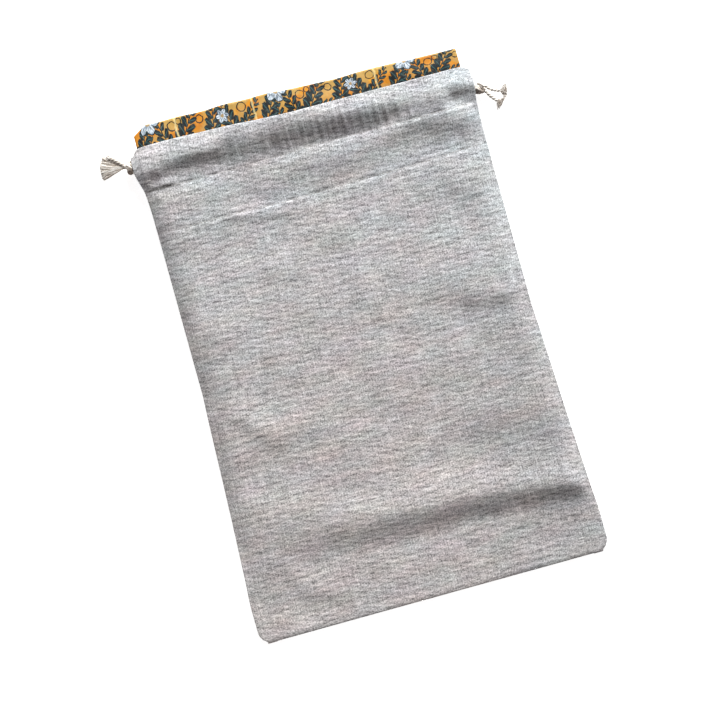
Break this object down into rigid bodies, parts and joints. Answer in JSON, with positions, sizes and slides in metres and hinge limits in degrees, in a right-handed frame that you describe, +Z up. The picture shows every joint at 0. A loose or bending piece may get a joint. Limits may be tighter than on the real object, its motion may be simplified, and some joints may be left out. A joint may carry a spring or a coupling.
{
  "type": "linen drawstring bread bag with a folded waxed-cloth wrap",
  "caption": "Flat linen drawstring bread bag with a deep hem, knotted cotton drawcords and a folded waxed-cloth wrap standing out of its mouth.",
  "frame": {"origin": "centre of the box round the bag and its wrap, on the table surface", "axes": "+Y from the bag's bottom fold to its mouth, +Z up from the table, +X to the right as seen from above"},
  "size_m": [0.3316, 0.4285, 0.0204],
  "materials": {
    "linen": "undyed grey-beige linen in plain weave, with uneven slubs, matt",
    "waxed_cotton": "printed cotton soaked in wax, ochre ground with dark leaves, soft low sheen",
    "cotton_cord": "undyed twisted cotton, matt, frayed at its cut ends"
  },
  "bodies": {
    "root": {"bag_cloth": "linen", "wax_wrap": "waxed_cotton", "drawcord_front": "cotton_cord", "drawcord_back": "cotton_cord", "knot_left": "cotton_cord", "knot_right": "cotton_cord", "tail_left_upper": "cotton_cord", "tail_left_lower": "cotton_cord", "tail_right_upper": "cotton_cord", "tail_right_lower": "cotton_cord"}
  },
  "joints": []
}
